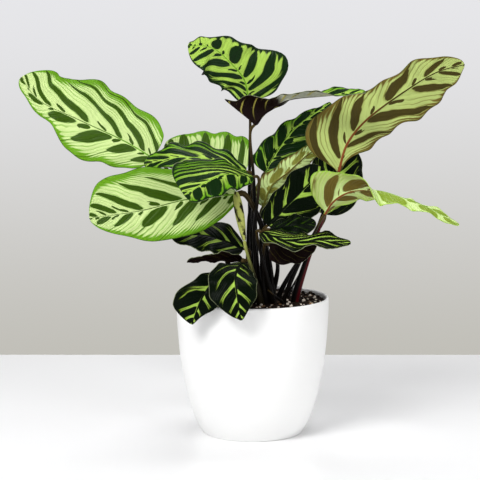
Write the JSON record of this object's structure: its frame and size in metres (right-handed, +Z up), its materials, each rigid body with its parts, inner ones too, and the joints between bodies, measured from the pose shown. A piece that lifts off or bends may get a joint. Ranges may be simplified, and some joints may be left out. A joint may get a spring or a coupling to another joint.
{
  "type": "potted calathea",
  "caption": "Potted calathea: broad waved leaves with a feathered pattern on slim stalks, rising from soil in a plain round pot.",
  "frame": {"origin": "middle of the pot's flat underside, where the pot rests", "axes": "+Z up along the pot's axis, +X to the right and +Y away from the viewer of the plant's front"},
  "size_m": [0.4285, 0.1869, 0.376],
  "materials": {
    "pot": "plain white glaze, satin, thin wall",
    "soil": "damp potting soil, dark and crumbly, with pale grains and bits of bark",
    "leaf_bright": "living leaf, pale lime with green lens-shaped patches beside the midrib, satin",
    "leaf_dark": "living leaf, near-black green patches with lime stripes between, satin to glossy",
    "leaf_pale_underside": "living leaf, underside towards the light: pale yellow-green with maroon-brown patches",
    "leaf_purple_underside": "living leaf, underside in shade: dark purple-brown with faint olive stripes",
    "stalk": "fleshy leaf stalk, dark brown-purple, lighter towards the blade",
    "young_leaf": "rolled young leaf, pale yellow-green"
  },
  "bodies": {
    "root": {"pot": "pot", "soil": "soil", "leaf_a": "leaf_bright", "leaf_b": "leaf_bright", "leaf_c": "leaf_bright", "leaf_d1": "leaf_dark", "leaf_d2": "leaf_dark", "leaf_e": "leaf_dark", "leaf_f": "leaf_purple_underside", "leaf_g": "leaf_pale_underside", "leaf_h": "leaf_pale_underside", "leaf_j": "leaf_dark", "leaf_k": "leaf_pale_underside", "leaf_l": "leaf_dark", "leaf_m": "leaf_dark", "leaf_n": "leaf_dark", "leaf_o": "leaf_dark", "leaf_p": "leaf_dark", "leaf_q": "leaf_purple_underside", "leaf_r": "leaf_dark", "leaf_s": "leaf_dark", "leaf_t": "leaf_purple_underside", "young_leaf": "young_leaf", "stalk_a": "stalk", "stalk_b": "stalk", "stalk_c": "stalk", "stalk_d1": "stalk", "stalk_d2": "stalk", "stalk_e": "stalk", "stalk_f": "stalk", "stalk_g": "stalk", "stalk_h": "stalk", "stalk_j": "stalk", "stalk_k": "stalk", "stalk_l": "stalk", "stalk_m": "stalk", "stalk_n": "stalk", "stalk_o": "stalk", "stalk_p": "stalk", "stalk_q": "stalk", "stalk_r": "stalk", "stalk_s": "stalk", "stalk_t": "stalk", "young_stalk": "young_leaf", "sheath_1": "stalk", "sheath_2": "stalk", "sheath_3": "stalk"}
  },
  "joints": []
}
